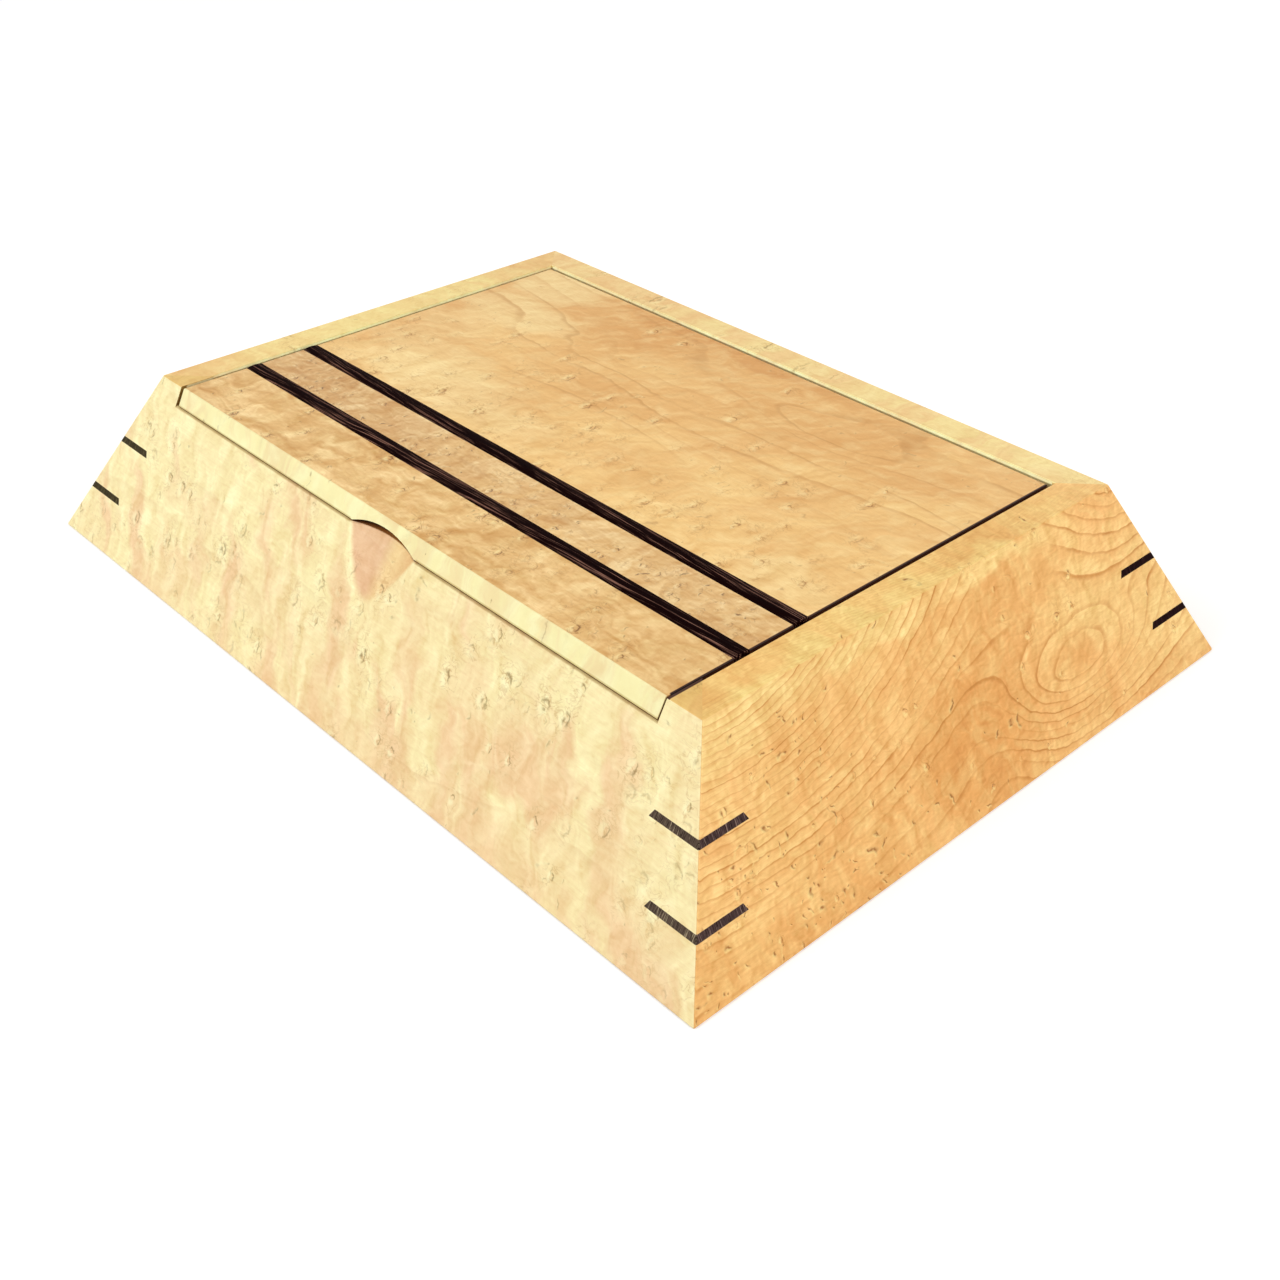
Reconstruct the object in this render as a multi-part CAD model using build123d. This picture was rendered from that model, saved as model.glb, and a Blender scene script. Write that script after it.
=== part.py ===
"""Dice box with a hinged, inset lid: four leaning maple walls with splined compound mitres."""
from build123d import *
from math import cos, radians, sin, sqrt, tan
import os

# ---------------------------------------------------------------- driving sizes (mm, degrees)
# Frame: origin under the middle of the box on the table, +X to the right, front towards -Y, +Z up.

# Carcase
base_length = 380.0          # outside, left to right, at the table
base_depth = 281.0           # outside, front to rear, at the table
box_height = 71.0            # table to rim
wall_tilt = 27.8             # lean of each wall from the vertical
wall_thickness = 12.7        # board thickness, square to its faces
edge_ease = 0.8              # sanded radius along the outside edges
rim_ease = 1.0               # chamfer along the side walls' inner edges
rail_chamfer = 1.0           # bevel on the rear rail that the open lid leans on

# Bottom panel in its groove, and the lining on it
panel_thickness = 6.0
panel_height = 6.0           # underside of the panel above the table
groove_depth = 4.0           # at the panel's underside
panel_play = 0.3             # room for the panel to move across the grain, each side
lining_thickness = 1.6
lining_margin = 0.5          # gap between the lining and the walls

# Splines: keys of contrasting wood glued into saw kerfs across each mitre
spline_thickness = 2.4
spline_heights = {"upper": 42.3, "lower": 20.8}
spline_legs = {               # length that shows on each face, sawn by hand and so not all alike
    "front_left": {"upper": 19.8, "lower": 21.8},
    "front_right": {"upper": 19.5, "lower": 20.4},
    "rear_left": {"upper": 20.0, "lower": 21.0},
    "rear_right": {"upper": 21.1, "lower": 22.0},
}

# Lid
lid_thickness = 10.0
lip_thickness = 6.5          # front edge, where the lid laps over the front wall
lid_seat_gap = 0.6           # under the lip
seat_ease = 0.5              # bevel on the front wall's top edge, under the lip
lid_gap_left = 1.9           # the lid takes up its side play to the right
lid_gap_right = 0.5
lid_gap_rear = 2.2
rebate_clearance = 1.0       # between the lid's shoulder and the front wall
lid_ease = 0.5               # sanded radius round the lid's top
front_board_width = 28.2     # on top, from the bevel to the first strip
strip_width = 7.0
strip_crown = 0.6            # how far the strips stand proud in the middle
strip_end_ease = 0.45
middle_board_width = 19.8

# Thumb scoop in the front wall, cut by a tapered drum, and the arc above it in the lid's lip
scoop_radius = 55.0          # of the drum at the wall's top edge
scoop_foot_radius = 42.0     # of the drum where the scoop runs out
scoop_depth = 3.4            # square to the face, at the wall's top edge
scoop_length = 24.0          # down the face
notch_half_width = 18.0      # of the lid's arc, at the lip's lower edge
notch_rise = 4.0             # up the bevel

# Hinge: two hidden pins near the lid's rear edge
hinge_drop = 5.0             # pin axis below the rim
lid_open_angle = 100.0       # where the lid's face meets the rear rail
lid_stop_clearance = 0.15    # left between them at that angle
pin_diameter = 3.0
pin_in_wall = 9.0
pin_in_lid = 14.0
pin_running_clearance = 0.1  # radial, in the lid
pin_seat_clearance = 0.02    # radial, in the wall
bore_end_clearance = 0.5

# ---------------------------------------------------------------- sizes that follow
slope = tan(radians(wall_tilt))              # how far a wall comes in for each mm it rises
wall_run = wall_thickness / cos(radians(wall_tilt))   # thickness of a wall, measured level
top_length = base_length - 2 * box_height * slope
top_depth = base_depth - 2 * box_height * slope
mouth_half = top_length / 2 - wall_run       # side walls' inner edges, and the sides of the front notch
rail_inner_y = top_depth / 2 - wall_run      # rear wall's inner edge
lid_left = -mouth_half + lid_gap_left
lid_right = mouth_half - lid_gap_right
lid_middle_x = (lid_left + lid_right) / 2    # the scoop is cut with the lid in place
overcut = 5.0                                # how far cutting solids reach past what they cut

face_up = Vector(0, sin(radians(wall_tilt)), cos(radians(wall_tilt)))      # up the front face
face_out = Vector(0, -cos(radians(wall_tilt)), sin(radians(wall_tilt)))    # out of the front face


def front_face_y(z):
    """Y of the sloping front face at height z."""
    return -base_depth / 2 + z * slope


def frustum(inset, z_low, z_high):
    """Solid bounded by the four leaning planes that lie `inset` (measured level) inside the outside faces."""
    levels = [
        Pos(0, 0, z) * Rectangle(base_length - 2 * (inset + z * slope), base_depth - 2 * (inset + z * slope))
        for z in (z_low, z_high)
    ]
    return loft(levels, ruled=True)


def block(x_low, x_high, y_low, y_high, z_low, z_high):
    """Square-edged block between the given planes."""
    middle = Pos((x_low + x_high) / 2, (y_low + y_high) / 2, (z_low + z_high) / 2)
    return middle * Box(x_high - x_low, y_high - y_low, z_high - z_low)


outside = frustum(0, 0, box_height)
outside = fillet(outside.edges(), edge_ease)
hollow = frustum(wall_run, -overcut, box_height + overcut)

# ---------------------------------------------------------------- hinge axis
# The open lid's top face stands `hinge_drop` from the axis and meets the lower edge of the rail's bevel.
swing = radians(lid_open_angle)
axis_to_rail = (
    hinge_drop + lid_stop_clearance - (hinge_drop - rail_chamfer) * cos(swing)
) / sin(swing) - rail_chamfer * slope
hinge_y = rail_inner_y - axis_to_rail
hinge_z = box_height - hinge_drop


def along_x(radius, x_low, x_high):
    """Round bar on the hinge axis."""
    bar = Cylinder(radius, x_high - x_low, rotation=(0, 90, 0))
    return Pos((x_low + x_high) / 2, hinge_y, hinge_z) * bar


# ---------------------------------------------------------------- splines
def spline_blank(x_side, y_side, z, leg):
    """Flat key across one mitre at height z; its inner edge runs square to the mitre plane."""
    corner = Vector(x_side * (base_length / 2 - z * slope), y_side * (base_depth / 2 - z * slope), z)
    inward = Vector(-x_side, -y_side, 0).normalized()
    depth = leg / sqrt(2)
    reach = depth + overcut
    place = Plane(origin=corner + inward * (depth - reach / 2), x_dir=inward, z_dir=(0, 0, 1))
    return place * Box(reach, 4 * leg, spline_thickness)


corners = {
    "front_left": (-1, -1),
    "front_right": (1, -1),
    "rear_left": (-1, 1),
    "rear_right": (1, 1),
}
kerfs = {
    f"spline_{corner}_{level}": spline_blank(x_side, y_side, z, spline_legs[corner][level])
    for corner, (x_side, y_side) in corners.items()
    for level, z in spline_heights.items()
}
splines = {name: blank & outside for name, blank in kerfs.items()}


# ---------------------------------------------------------------- bottom panel and lining
def level_rectangle(inset, z):
    """Plan rectangle that lies `inset` inside the outside faces at height z."""
    return Pos(0, 0, z) * Rectangle(
        base_length - 2 * (inset + z * slope), base_depth - 2 * (inset + z * slope)
    )


groove_inset = wall_run - groove_depth
groove = extrude(level_rectangle(groove_inset, panel_height), panel_thickness)
bottom_panel = extrude(level_rectangle(groove_inset + panel_play, panel_height), panel_thickness)

lining_base = panel_height + panel_thickness
lining_top = lining_base + lining_thickness
lining_plan = level_rectangle(wall_run + lining_margin + lining_thickness * slope, lining_base)
bottom_lining = extrude(lining_plan, lining_thickness)


# ---------------------------------------------------------------- walls
def mitred_wall(span, reach, turn):
    """Board between two upright mitre planes at 45 degrees.

    span is the wall's outside length at the table, reach the distance of its foot from the middle,
    and turn rotates it from the front round the box.
    """
    mitre_run = box_height * slope + wall_run + overcut
    plan = make_face(
        Polyline(
            (-span / 2 - overcut, -reach - overcut),
            (span / 2 + overcut, -reach - overcut),
            (span / 2 - mitre_run, -reach + mitre_run),
            (-span / 2 + mitre_run, -reach + mitre_run),
            close=True,
        )
    )
    wedge = extrude(Pos(0, 0, -overcut) * plan, box_height + 2 * overcut)
    return (outside - hollow) & (Rot(0, 0, turn) * wedge)


def cut_kerfs(wall):
    """Saw the spline kerfs and plough the panel groove."""
    for blank in kerfs.values():
        wall = wall - blank
    return wall - groove


# Bevels round the mouth. Each starts on a wall's inner face one bevel's height below the rim.
def mouth_level(drop):
    """Plan rectangle in the side bevels' planes, `drop` below the rim."""
    growth = rim_ease * slope + (rim_ease - drop) * (1 - slope)
    return Pos(0, 0, box_height - drop) * Rectangle(2 * (mouth_half + growth), 2 * (rail_inner_y + growth))


mouth_chamfer = loft([mouth_level(2 * rim_ease), mouth_level(0)], ruled=True)
rail_profile = make_face(
    Polyline(
        (0, rail_inner_y - overcut, box_height - rail_chamfer),
        (0, rail_inner_y + rail_chamfer * slope, box_height - rail_chamfer),
        (0, rail_inner_y + rail_chamfer, box_height),
        (0, rail_inner_y - overcut, box_height),
        close=True,
    )
)
rail_bevel = extrude(rail_profile, amount=mouth_half, both=True)

left_wall = cut_kerfs(mitred_wall(base_depth, base_length / 2, -90)) - mouth_chamfer
right_wall = cut_kerfs(mitred_wall(base_depth, base_length / 2, 90)) - mouth_chamfer
rear_wall = cut_kerfs(mitred_wall(base_length, base_depth / 2, 180)) - rail_bevel
front_wall = cut_kerfs(mitred_wall(base_length, base_depth / 2, 0))

# Front wall: lowered between its ears to take the lid's lip, with a small bevel on the edge under the lip
front_top = box_height - lip_thickness - lid_seat_gap
bevel_top = Vector(0, front_face_y(front_top) + seat_ease, front_top)
bevel_way = bevel_top - Vector(0, front_face_y(front_top - seat_ease), front_top - seat_ease)
bevel_outer = bevel_top - bevel_way * (2 * overcut)
bed_profile = make_face(
    Polyline(
        bevel_outer,
        bevel_top,
        (0, 0, front_top),
        (0, 0, box_height + overcut),
        (0, bevel_outer.Y, box_height + overcut),
        close=True,
    )
)
lip_bed = extrude(bed_profile, amount=mouth_half, dir=(1, 0, 0), both=True)
front_wall = front_wall - lip_bed

# Thumb scoop: the tapered drum runs out on the face `scoop_length` below the wall's top edge
scoop_top = Vector(lid_middle_x, front_face_y(front_top), front_top)


def drum_circle(share):
    """Section of the drum square to the face; share is 0 where it runs out and 1 at the wall's top edge."""
    radius = scoop_foot_radius + (scoop_radius - scoop_foot_radius) * share
    height_out = radius - scoop_depth * share
    centre = scoop_top - face_up * (scoop_length * (1 - share)) + face_out * height_out
    return Plane(origin=centre, x_dir=(1, 0, 0), z_dir=face_up) * Circle(radius)


drum_ends = (-0.1, 1.4)      # the drum reaches past both ends of the scoop
drum = loft([drum_circle(share) for share in drum_ends], ruled=True)
front_wall = front_wall - drum

# ---------------------------------------------------------------- hinge pins and their seats
wall_inner_x = mouth_half + hinge_drop * slope
seat_radius = pin_diameter / 2 + pin_seat_clearance
bore_radius = pin_diameter / 2 + pin_running_clearance

left_wall = left_wall - along_x(seat_radius, -wall_inner_x - pin_in_wall - bore_end_clearance, -mouth_half)
right_wall = right_wall - along_x(seat_radius, mouth_half, wall_inner_x + pin_in_wall + bore_end_clearance)
hinge_pin_left = along_x(pin_diameter / 2, -wall_inner_x - pin_in_wall, lid_left + pin_in_lid)
hinge_pin_right = along_x(pin_diameter / 2, lid_right - pin_in_lid, wall_inner_x + pin_in_wall)

# ---------------------------------------------------------------- lid
lid_underside = box_height - lid_thickness
lip_underside = box_height - lip_thickness
lid_front_y = front_face_y(box_height)
lid_rear_y = rail_inner_y - lid_gap_rear
shoulder_y = front_face_y(front_top) + wall_run + rebate_clearance

lid_profile = make_face(
    Polyline(
        (lid_left, lid_front_y, box_height),
        (lid_left, front_face_y(lip_underside), lip_underside),
        (lid_left, shoulder_y, lip_underside),
        (lid_left, shoulder_y, lid_underside),
        (lid_left, lid_rear_y, lid_underside),
        (lid_left, lid_rear_y, box_height),
        close=True,
    )
)
lid_blank = extrude(lid_profile, amount=lid_right - lid_left, dir=(1, 0, 0))
lid_top_edges = lid_blank.edges().group_by(Axis.Z)[-1]
lid_blank = fillet(lid_top_edges, lid_ease)

# Arc in the lip over the scoop, cut square to the bevel
notch_radius = (notch_half_width**2 + notch_rise**2) / (2 * notch_rise)
notch_reach = 2 * notch_rise / slope
lip_edge = Vector(lid_middle_x, front_face_y(lip_underside), lip_underside)
notch_centre = lip_edge + face_up * (notch_rise - notch_radius)
notch = Plane(origin=notch_centre, x_dir=(1, 0, 0), z_dir=face_out) * Cylinder(notch_radius, notch_reach)
lid_blank = lid_blank - notch

# Boards and strips, glued edge to edge from the bevel to the rear edge
front_strip_y = lid_front_y + front_board_width
middle_board_y = front_strip_y + strip_width
rear_strip_y = middle_board_y + middle_board_width
main_board_y = rear_strip_y + strip_width


def lid_board(y_low, y_high):
    """The part of the lid blank between two glue lines."""
    return lid_blank & block(-base_length, base_length, y_low, y_high, 0, 2 * box_height)


def lid_strip(y_low):
    """Strip through the full thickness of the lid, crowned on top and eased at its two ends."""
    y_high = y_low + strip_width
    outline = Polyline(
        (lid_left, y_low, box_height),
        (lid_left, y_low, lid_underside),
        (lid_left, y_high, lid_underside),
        (lid_left, y_high, box_height),
    )
    crown = ThreePointArc(
        (lid_left, y_high, box_height),
        (lid_left, (y_low + y_high) / 2, box_height + strip_crown),
        (lid_left, y_low, box_height),
    )
    strip = extrude(make_face([outline, crown]), amount=lid_right - lid_left, dir=(1, 0, 0))
    end_arcs = strip.edges().filter_by(GeomType.CIRCLE)
    return chamfer(end_arcs, strip_end_ease)


lid_front_board = lid_board(front_face_y(0), front_strip_y)
lid_front_strip = lid_strip(front_strip_y)
lid_middle_board = lid_board(middle_board_y, rear_strip_y)
lid_rear_strip = lid_strip(rear_strip_y)
lid_main_board = lid_board(main_board_y, lid_rear_y)
for x_low, x_high in (
    (lid_left - overcut, lid_left + pin_in_lid + bore_end_clearance),
    (lid_right - pin_in_lid - bore_end_clearance, lid_right + overcut),
):
    lid_main_board = lid_main_board - along_x(bore_radius, x_low, x_high)

# ---------------------------------------------------------------- write one STEP per piece
pieces = {
    "front_wall": front_wall,
    "rear_wall": rear_wall,
    "left_wall": left_wall,
    "right_wall": right_wall,
    "bottom_panel": bottom_panel,
    "bottom_lining": bottom_lining,
    "hinge_pin_left": hinge_pin_left,
    "hinge_pin_right": hinge_pin_right,
    "lid_front_board": lid_front_board,
    "lid_front_strip": lid_front_strip,
    "lid_middle_board": lid_middle_board,
    "lid_rear_strip": lid_rear_strip,
    "lid_main_board": lid_main_board,
    **splines,
}
os.makedirs("parts", exist_ok=True)
for name, solid in pieces.items():
    solid.label = name
    export_step(solid, f"parts/{name}.step")
    size = solid.bounding_box().size
    print(f"{name:28s} {size.X:7.1f} x {size.Y:6.1f} x {size.Z:5.1f} mm  {solid.volume / 1000:8.2f} cm3")
print(f"hinge axis at y {hinge_y:.3f}, z {hinge_z:.3f}; lid from x {lid_left:.2f} to {lid_right:.2f}")
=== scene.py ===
# %% [markdown]
# # A bird's-eye maple dice box
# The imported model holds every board, key, strip and pin of the box at its real size. This lesson leaves
# those meshes as they are and gives them their woods, lays the felt in the bottom, and sets the box on a
# pale table in soft studio light. Lengths are in metres, but in a board's own grid, and where a name ends
# in `_mm`, they are in millimetres.

# %% Load the frame
from math import cos, radians, tan
from types import SimpleNamespace

import bpy
import numpy as np
from mathutils import Matrix, Vector


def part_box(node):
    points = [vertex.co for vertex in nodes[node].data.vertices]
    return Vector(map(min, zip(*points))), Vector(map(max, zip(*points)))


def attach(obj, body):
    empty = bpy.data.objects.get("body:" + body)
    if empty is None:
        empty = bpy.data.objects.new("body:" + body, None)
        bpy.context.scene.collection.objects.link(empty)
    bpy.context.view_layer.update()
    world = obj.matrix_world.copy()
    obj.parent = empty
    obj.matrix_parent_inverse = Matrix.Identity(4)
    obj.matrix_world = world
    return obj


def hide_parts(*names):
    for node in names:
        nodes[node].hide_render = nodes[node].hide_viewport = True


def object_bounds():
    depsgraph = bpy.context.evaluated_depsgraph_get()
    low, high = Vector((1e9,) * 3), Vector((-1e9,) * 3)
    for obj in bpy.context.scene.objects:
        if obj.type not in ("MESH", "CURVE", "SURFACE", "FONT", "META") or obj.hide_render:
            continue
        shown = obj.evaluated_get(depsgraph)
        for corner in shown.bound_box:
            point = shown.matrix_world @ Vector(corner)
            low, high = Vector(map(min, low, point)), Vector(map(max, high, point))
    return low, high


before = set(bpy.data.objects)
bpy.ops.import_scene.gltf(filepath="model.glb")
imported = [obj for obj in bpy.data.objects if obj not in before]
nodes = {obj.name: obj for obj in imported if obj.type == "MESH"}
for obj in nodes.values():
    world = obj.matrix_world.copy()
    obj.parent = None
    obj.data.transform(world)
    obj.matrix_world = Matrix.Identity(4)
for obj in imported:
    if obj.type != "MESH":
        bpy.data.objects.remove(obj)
cad_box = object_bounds()
scene = bpy.context.scene
print("CAD box:", [[round(value, 4) for value in corner] for corner in cad_box])

# %% [markdown]
# ## The camera
# A three-quarter view from the right-hand front corner, a little above the box, as one looks at it on a
# table. The lens is a moderate one for a square frame. The camera is aimed at a point on the table and then
# rolled by less than a degree, because a hand-held camera is never quite level.

# %% Camera
camera_place = Vector((0.400, -0.3636, 0.3463))
camera_aim = Vector((0.0370, -0.0181, 0.0))
camera_roll = radians(0.84)
frame_pixels = 1280
focal_pixels = 1584
sensor_width_mm = 36.0

camera_data = bpy.data.cameras.new("camera")
camera_data.sensor_width = sensor_width_mm
camera_data.lens = focal_pixels / frame_pixels * sensor_width_mm
camera_data.clip_end = 50
camera = bpy.data.objects.new("camera", camera_data)
scene.collection.objects.link(camera)
facing = (camera_aim - camera_place).to_track_quat("-Z", "Y").to_matrix()
rolled = facing @ Matrix.Rotation(camera_roll, 3, "Z")
camera.matrix_world = Matrix.Translation(camera_place) @ rolled.to_4x4()
scene.camera = camera
scene.view_settings.view_transform = "Standard"
print("lens:", round(camera_data.lens, 2), "mm")

# %% [markdown]
# ## Table and studio light
# The table is a plain pale sheet. A little glow, seen by the camera and by reflections only, lifts it to
# white where nothing shades it, so the box keeps its soft contact shadow. The world lights evenly from all
# round, and the camera and reflections see it brighter than it lights. Three large lamps model the form:
# the strongest stands in front, which makes the sloping front the brightest face. Each lamp's power is
# worked out from the level that it should give at the box.

# %% Table and light
def linear(red, green, blue):
    """Screen colour from 0 to 255 as linear light: the low end is straight, the rest a power of 2.4."""
    screen = np.array((red, green, blue)) / 255
    light = np.where(screen <= 0.04045, screen / 12.92, ((screen + 0.055) / 1.055) ** 2.4)
    return (*light.tolist(), 1.0)


def glow_seen(tree, strength):
    """Emission strength that only camera, glossy and transmission rays see."""
    rays = tree.nodes.new("ShaderNodeLightPath")
    total = rays.outputs["Is Camera Ray"]
    for name in ("Is Glossy Ray", "Is Transmission Ray"):
        larger = tree.nodes.new("ShaderNodeMath")
        larger.operation = "MAXIMUM"
        tree.links.new(total, larger.inputs[0])
        tree.links.new(rays.outputs[name], larger.inputs[1])
        total = larger.outputs[0]
    scaled = tree.nodes.new("ShaderNodeMath")
    scaled.operation = "MULTIPLY"
    tree.links.new(total, scaled.inputs[0])
    scaled.inputs[1].default_value = strength
    return scaled.outputs[0]


table_half = 4.0
table_glow = 0.35
table_mesh = bpy.data.meshes.new("table")
table_corners = [(-table_half, -table_half, 0), (table_half, -table_half, 0),
                 (table_half, table_half, 0), (-table_half, table_half, 0)]
table_mesh.from_pydata(table_corners, [], [(0, 1, 2, 3)])
table = bpy.data.objects.new("table", table_mesh)
scene.collection.objects.link(table)

table_finish = bpy.data.materials.new("pale_table")
table_finish.use_nodes = True
tree = table_finish.node_tree
tree.nodes.clear()
sheet_colour = tree.nodes.new("ShaderNodeBsdfDiffuse")
sheet_colour.inputs["Color"].default_value = linear(232, 231, 229)
lift = tree.nodes.new("ShaderNodeEmission")
tree.links.new(glow_seen(tree, table_glow), lift.inputs["Strength"])
both = tree.nodes.new("ShaderNodeAddShader")
tree.links.new(sheet_colour.outputs[0], both.inputs[0])
tree.links.new(lift.outputs[0], both.inputs[1])
output = tree.nodes.new("ShaderNodeOutputMaterial")
tree.links.new(both.outputs[0], output.inputs["Surface"])
table_mesh.materials.append(table_finish)

world_level = 0.60
world = bpy.data.worlds.new("studio")
world.use_nodes = True
scene.world = world
tree = world.node_tree
tree.nodes.clear()
even = tree.nodes.new("ShaderNodeBackground")
seen = glow_seen(tree, 1.0 - world_level)
level = tree.nodes.new("ShaderNodeMath")
level.operation = "ADD"
tree.links.new(seen, level.inputs[0])
level.inputs[1].default_value = world_level
tree.links.new(level.outputs[0], even.inputs["Strength"])
output = tree.nodes.new("ShaderNodeOutputWorld")
tree.links.new(even.outputs[0], output.inputs["Surface"])


def studio_lamp(name, place, size, level):
    """Square lamp aimed at the box. A white face square to it would show as `level`:
    the power is pi squared times the distance squared times that level."""
    data = bpy.data.lights.new(name, "AREA")
    data.size = size
    aim = Vector((0, 0, cad_box[1].z / 2))
    away = Vector(place) - aim
    data.energy = np.pi**2 * away.length_squared * level
    lamp = bpy.data.objects.new(name, data)
    scene.collection.objects.link(lamp)
    lamp.matrix_world = Matrix.Translation(place) @ away.to_track_quat("Z", "Y").to_matrix().to_4x4()
    return lamp


lamps = [
    studio_lamp("front_lamp", (-0.7, -1.7, 1.5), 1.2, 0.50),
    studio_lamp("right_lamp", (2.0, 0.2, 1.3), 1.2, 0.385),
    studio_lamp("rear_lamp", (-0.1, 2.3, 1.0), 1.4, 0.15),
]
print("lamps:", {lamp.name: round(lamp.data.energy, 1) for lamp in lamps})

# %% [markdown]
# ## A short way to write shader nodes
# A board's wood takes some hundreds of nodes, so they are written as sums and products of values. `Finish`
# keeps one material's node tree and has a method for each kind of step. Every method takes numbers or
# earlier results.

# %% Finish helper
class Finish:
    """One node material, written as a chain of steps."""

    def __init__(self, name):
        self.material = bpy.data.materials.new(name)
        self.material.use_nodes = True
        self.tree = self.material.node_tree
        self.tree.nodes.clear()

    def step(self, kind, inputs=(), output=0, **settings):
        """Adds a node, sets its settings, and joins or fills its inputs, given as pairs of (name or index,
        value)."""
        made = self.tree.nodes.new("ShaderNode" + kind)
        for name, value in settings.items():
            setattr(made, name, value)
        for key, value in inputs:
            if isinstance(value, bpy.types.NodeSocket):
                self.tree.links.new(value, made.inputs[key])
            else:
                made.inputs[key].default_value = value
        return made.outputs[output]

    def math(self, operation, *values):
        """Number arithmetic."""
        return self.step("Math", list(enumerate(values)), operation=operation)

    def vector(self, operation, *values, output=0):
        """Vector arithmetic."""
        return self.step("VectorMath", list(enumerate(values)), output, operation=operation)

    def times(self, first, *rest):
        """Product of several values."""
        for value in rest:
            first = self.math("MULTIPLY", first, value)
        return first

    def plus(self, first, *rest):
        """Sum of several values."""
        for value in rest:
            first = self.math("ADD", first, value)
        return first

    def fade(self, value, low, high, start=0.0, end=1.0):
        """Smooth step from start to end while value goes from low to high."""
        pairs = [("Value", value), ("From Min", low), ("From Max", high), ("To Min", start), ("To Max", end)]
        return self.step("MapRange", pairs, interpolation_type="SMOOTHSTEP")

    def above(self, value, edge, soft):
        """0 up to an edge and 1 from `soft` past it."""
        return self.fade(value, edge, edge + soft)

    def below(self, value, edge, soft):
        """1 up to an edge and 0 from `soft` past it."""
        return self.fade(value, edge, edge + soft, 1.0, 0.0)

    def hill(self, value, width):
        """Bell curve: e to the power of minus (value / width) squared."""
        ratio = self.math("DIVIDE", value, width)
        return self.math("EXPONENT", self.math("MULTIPLY", self.times(ratio, ratio), -1.0))

    def cloud(self, place, size, detail=2.0, roughness=0.5, distortion=0.0):
        """Noise from 0 to 1 whose lumps are about `size` across in the units of `place`."""
        pairs = [("Vector", place), ("Scale", 1 / size), ("Detail", detail),
                 ("Roughness", roughness), ("Distortion", distortion)]
        return self.step("TexNoise", pairs)

    def shake(self, place, size, amount, shift=0.0):
        """Place moved about in its first two directions, in lumps of `size`, by up to about a fifth of
        `amount`."""
        pairs = [("Vector", self.vector("ADD", place, (shift,) * 3)), ("Scale", 1 / size), ("Detail", 2.0)]
        push = self.vector("SUBTRACT", self.step("TexNoise", pairs, 1), (0.5,) * 3)
        return self.vector("ADD", place, self.vector("MULTIPLY", push, (amount, amount, 0)))

    def stretch(self, place, along, across, through=None, shift=0.0):
        """Place divided by a length in each direction, so that a pattern is drawn out along the grain."""
        through = across if through is None else through
        scaled = self.vector("MULTIPLY", place, (1 / along, 1 / across, 1 / through))
        return self.vector("ADD", scaled, (shift, 1.7 * shift, 0.6 * shift))

    def blend(self, amount, first, second, mode="MIX"):
        """Mix of two colours."""
        pairs = [(0, amount), (6, first), (7, second)]
        return self.step("Mix", pairs, 2, data_type="RGBA", blend_type=mode)

    def split(self, place):
        """The three numbers of a vector."""
        made = self.tree.nodes.new("ShaderNodeSeparateXYZ")
        self.tree.links.new(place, made.inputs[0])
        return made.outputs

    def surface(self, colour, roughness, bump=None, bump_height=0.0002, **fixed):
        """Principled surface; what is the same all over is set on the shader's own sockets."""
        pairs = [("Base Color", colour), ("Roughness", roughness), *fixed.items()]
        if bump is not None:
            bump_pairs = [("Height", bump), ("Distance", bump_height), ("Strength", 1.0)]
            pairs.append(("Normal", self.step("Bump", bump_pairs)))
        result = self.tree.nodes.new("ShaderNodeOutputMaterial")
        self.tree.links.new(self.step("BsdfPrincipled", pairs), result.inputs["Surface"])
        return self.material


# %% [markdown]
# ## Each board's own grid
# A board's figure follows the tree that it was sawn from, so each board reads its pattern in its own grid:
# first number along the grain, second across the board, third through its thickness, all in millimetres.
# For a leaning wall the grid stands on the wall's foot and leans with it. The foot is where the face's
# plane meets the table; the rounded edge stops a little short of it.

# %% Board grids
wall_tilt = radians(27.8)
mm = 0.001
half_length, half_depth = 0.190, 0.1405
box_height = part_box("right_wall")[1].z
slope = tan(wall_tilt)


def board_grid(finish, place, lean=0.0, turn=0.0):
    """Position on the board in millimetres: the object's own coordinates, moved to `place`,
    turned by `turn` about the upright and leaned by `lean` about the board's length."""
    position = finish.step("TexCoord", output=3)
    pairs = [("Vector", position), ("Location", place),
             ("Rotation", (lean, 0.0, turn)), ("Scale", (mm,) * 3)]
    return finish.step("Mapping", pairs, vector_type="TEXTURE")


def wall_grid(side):
    """Place, lean and turn of one wall's grid."""
    turn = {"front": 0.0, "right": 90.0, "rear": 180.0, "left": 270.0}[side]
    outward = Matrix.Rotation(radians(turn), 3, "Z") @ Vector((0, -1, 0))
    place = Vector((outward.x * half_length, outward.y * half_depth, 0))
    return dict(place=place, lean=radians(90) - wall_tilt, turn=radians(turn))


def lid_grid(node):
    """Grid of a lid board: level with the top of the box, and centred on the board's width."""
    low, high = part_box(node)
    return dict(place=Vector((0, (low.y + high.y) / 2, box_height)))


print("wall foot at", round(half_depth, 4), "and", round(half_length, 4), "from the middle")

# %% [markdown]
# ## Growth rings
# Sawn lengthways, the yearly rings come out as long lines, and as nested ovals where the cut grazes a ring.
# One smooth number, the ring count, is worked out for each point; whole numbers are ring borders. It rises
# across the board, wanders with broad noise, and swells over each "lobe", which draws an oval. A bird's eye
# pushes the count up a little too, so that the lines part round it as they do in the tree. Each ring
# darkens slowly and ends at a sharp line, and each has a strength and a shade of its own.

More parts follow.
